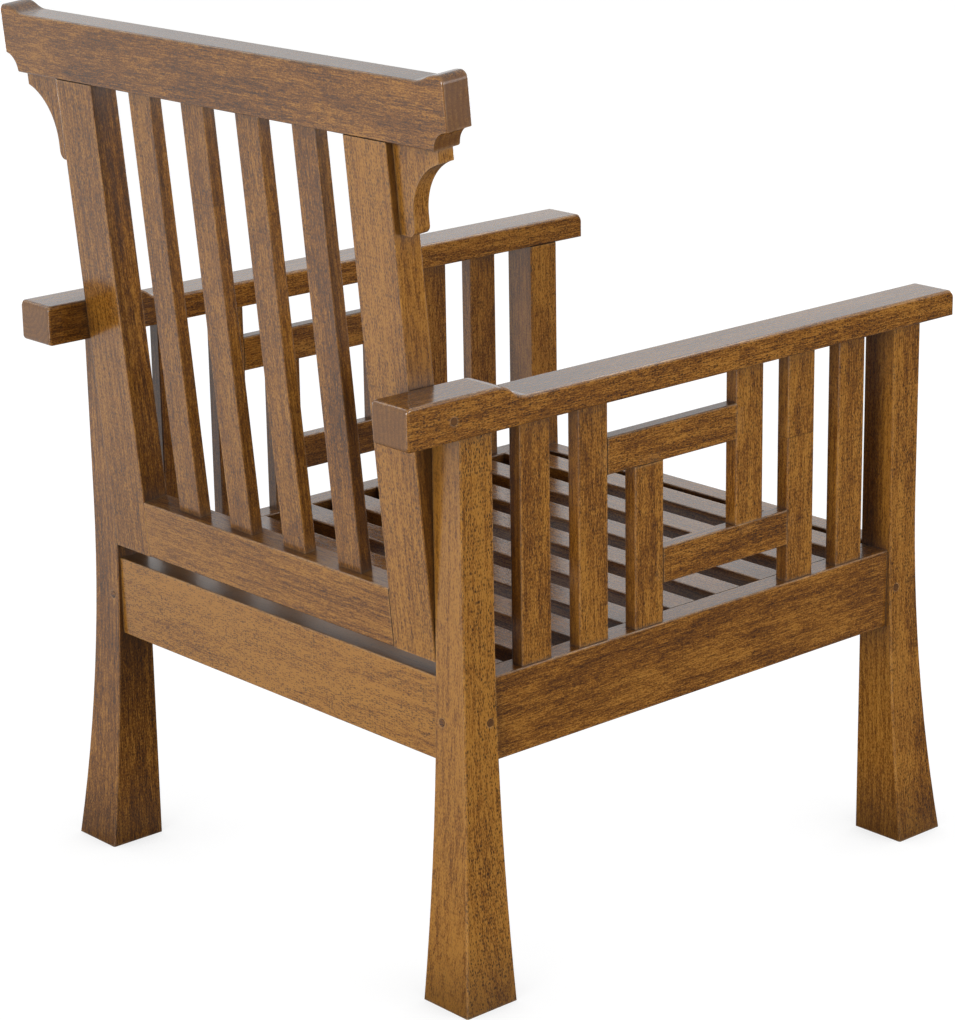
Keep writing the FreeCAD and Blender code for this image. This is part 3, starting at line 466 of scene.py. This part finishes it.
def make_board(name, grain, face, draw, tone, wear_and_highlight=1.0):
    """Wood for one board, sawn from its own place in a tree. Its pores show most on its face."""
    middle, turn = saw(name, grain, face, draw)
    material = new_material(f"wood_{name}")
    tree = material.node_tree
    here = add_node(tree, "TexCoord").outputs["Object"]
    placed = {"Vector": here, "Location": middle, "Rotation": turn}
    vector, joint = add_node(tree, "Mapping", placed, vector_type="TEXTURE").outputs[0], 0.0
    if name in JOINS:
        vector, joint = join_lengths(tree, here, vector, grain, JOINS[name])
    pores = PORES.get(name, USUAL_PORES)
    on_face = turned_to(tree, face)
    wood = add_node(tree, "Group", node_tree=grain_group)
    connect(tree, wood, {
        "Vector": vector,
        # Painted shade on the sides of some of the back's boards
        "Tone": ease(tree, on_face, *FACE_FADE, tone + PAINTED_SIDE_SHADES.get(name, 0.0), tone),
        "Pores": ease(tree, on_face, *FACE_FADE, SIDE_PORES * pores, pores),
        "Joint": joint,
        "End": ease(tree, turned_to(tree, grain), *END_FADE),
        "WearAndHighlight": wear_and_highlight,
    })
    lacquered(tree, *wood.outputs)
    return material


def make_steel():
    """Zinc-plated steel, with a faint unevenness."""
    material = new_material("screw_steel")
    tree = material.node_tree
    here = add_node(tree, "TexCoord").outputs["Object"]
    sockets = {"Vector": here, "Scale": STEEL_CLOUD, "Detail": STEEL_DETAIL}
    cloud = add_node(tree, "TexNoise", sockets).outputs[0]
    bump = add_node(tree, "Bump", {"Height": cloud, "Distance": STEEL_BUMP, "Strength": BUMP_STRENGTH})
    shader = add_node(tree, "BsdfPrincipled", {
        "Base Color": blend(tree, cloud, DULL_STEEL, BRIGHT_STEEL),
        "Metallic": 1.0,
        "Roughness": ease(tree, cloud, *STEEL_FADE, *STEEL_ROUGHNESS),
        "Normal": bump.outputs[0],
    })
    add_node(tree, "OutputMaterial", {"Surface": shader.outputs[0]})
    return material


def dress(name, material):
    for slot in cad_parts[name].material_slots:
        slot.material = material


def dress_all():
    draw = random.Random(SEED)
    for name in sorted(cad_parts):
        for start, grain, face in BOARDS:
            if name.startswith(start):
                tone = draw.uniform(-TONE_SPREAD, TONE_SPREAD) + TONES.get(name, 0.0)
                dress(name, make_board(name, grain, face, draw, tone))
                break
    for name in DOWELS:
        dress(name, make_board(name, X, Z, draw, DOWEL_TONE, wear_and_highlight=0.0))
    steel = make_steel()
    for name in SCREWS:
        dress(name, steel)


def seen_as_background(tree, in_gloss=1.0):
    """1 for rays that see the scene, an amount for those in a gloss, 0 for those that light it."""
    path = add_node(tree, "LightPath").outputs
    straight = calculate(tree, "MAXIMUM", path["Is Camera Ray"], path["Is Transmission Ray"])
    glossy = calculate(tree, "MULTIPLY", path["Is Glossy Ray"], in_gloss)
    return calculate(tree, "MAXIMUM", straight, glossy)


def make_floor_white():
    material = new_material("floor_white")
    tree = material.node_tree
    matt = add_node(tree, "BsdfDiffuse", {"Color": FLOOR_COLOUR})
    # The glow dims near the chair's feet: a painted shadow
    shade = ease(tree, openness(tree, SHADE_REACH, 4), 0.0, 1.0, FLOOR_SHADE, 1.0)
    # In gloss the glow fades by side and dims under the chair: a painted reflection with painted shade
    side = along(tree, surface(tree, "Position"), FLOOR_BRIGHT_SIDE)
    open_floor = ease(tree, openness(tree, SHELTER_REACH, 4), *SHELTER_FADE)
    in_gloss = calculate(tree, "MULTIPLY", ease(tree, side, *FLOOR_FADE, *FLOOR_GLOSS), open_floor)
    glow = calculate(tree, "MULTIPLY", seen_as_background(tree, in_gloss), shade)
    lit = add_node(tree, "Emission", {"Color": WHITE, "Strength": glow})
    both = add_node(tree, "AddShader", {0: matt.outputs[0], 1: lit.outputs[0]})
    add_node(tree, "OutputMaterial", {"Surface": both.outputs[0]})
    return material


def make_floor():
    half = FLOOR_SIZE / 2
    mesh = bpy.data.meshes.new("floor")
    corners = [(-half, -half, 0.0), (half, -half, 0.0), (half, half, 0.0), (-half, half, 0.0)]
    mesh.from_pydata(corners, [], [(0, 1, 2, 3)])
    mesh.materials.append(make_floor_white())
    floor = bpy.data.objects.new("floor", mesh)
    bpy.context.scene.collection.objects.link(floor)


def make_world():
    """A pale room, brightest round the horizon, that shows as plain white."""
    world = bpy.data.worlds.new("studio")
    world.use_nodes = True
    tree = world.node_tree
    tree.nodes.clear()
    upward = add_node(tree, "SeparateXYZ", {0: add_node(tree, "TexCoord").outputs["Generated"]}).outputs[2]
    level = ease(tree, upward, *SKY_FADE, HORIZON, ZENITH)
    shown = add_node(tree, "Mix", {0: seen_as_background(tree), 2: level, 3: 1.0}, data_type="FLOAT")
    sky = add_node(tree, "Background", {"Color": WHITE, "Strength": shown.outputs[0]})
    add_node(tree, "OutputWorld", {"Surface": sky.outputs[0]})
    bpy.context.scene.world = world


def make_lamps():
    middle = (cad_box[0] + cad_box[1]) / 2
    for name, direction, distance, width, height, watts in LAMPS:
        data = bpy.data.lights.new(name, "AREA")
        data.shape = "RECTANGLE"
        data.size = width
        data.size_y = height
        data.energy = watts
        lamp = bpy.data.objects.new(name, data)
        away = Vector(direction).normalized()
        lamp.location = middle + away * distance
        lamp.rotation_euler = away.to_track_quat("Z", "Y").to_euler()
        lamp.visible_camera = False
        bpy.context.scene.collection.objects.link(lamp)


def make_camera():
    """The camera stands where the photographer did, turned about its line of sight by the roll."""
    level = math.cos(ELEVATION)
    back = Vector((math.sin(AZIMUTH) * level, -math.cos(AZIMUTH) * level, math.sin(ELEVATION)))
    right = Z.cross(back).normalized()
    turned = Matrix.Rotation(ROLL, 3, back)
    axes = Matrix((turned @ right, turned @ back.cross(right), back)).transposed()
    data = bpy.data.cameras.new("camera")
    data.sensor_width = SENSOR
    data.lens = FOCAL_PIXELS * SENSOR / IMAGE_HEIGHT
    data.clip_end = 2 * FLOOR_SIZE
    camera = bpy.data.objects.new("camera", data)
    camera.matrix_world = Matrix.Translation(TARGET + back * DISTANCE) @ axes.to_4x4()
    bpy.context.scene.collection.objects.link(camera)
    bpy.context.scene.camera = camera


grain_group = make_grain()
dress_all()
make_floor()
make_world()
make_lamps()
make_camera()
bpy.context.scene.view_settings.view_transform = "Standard"
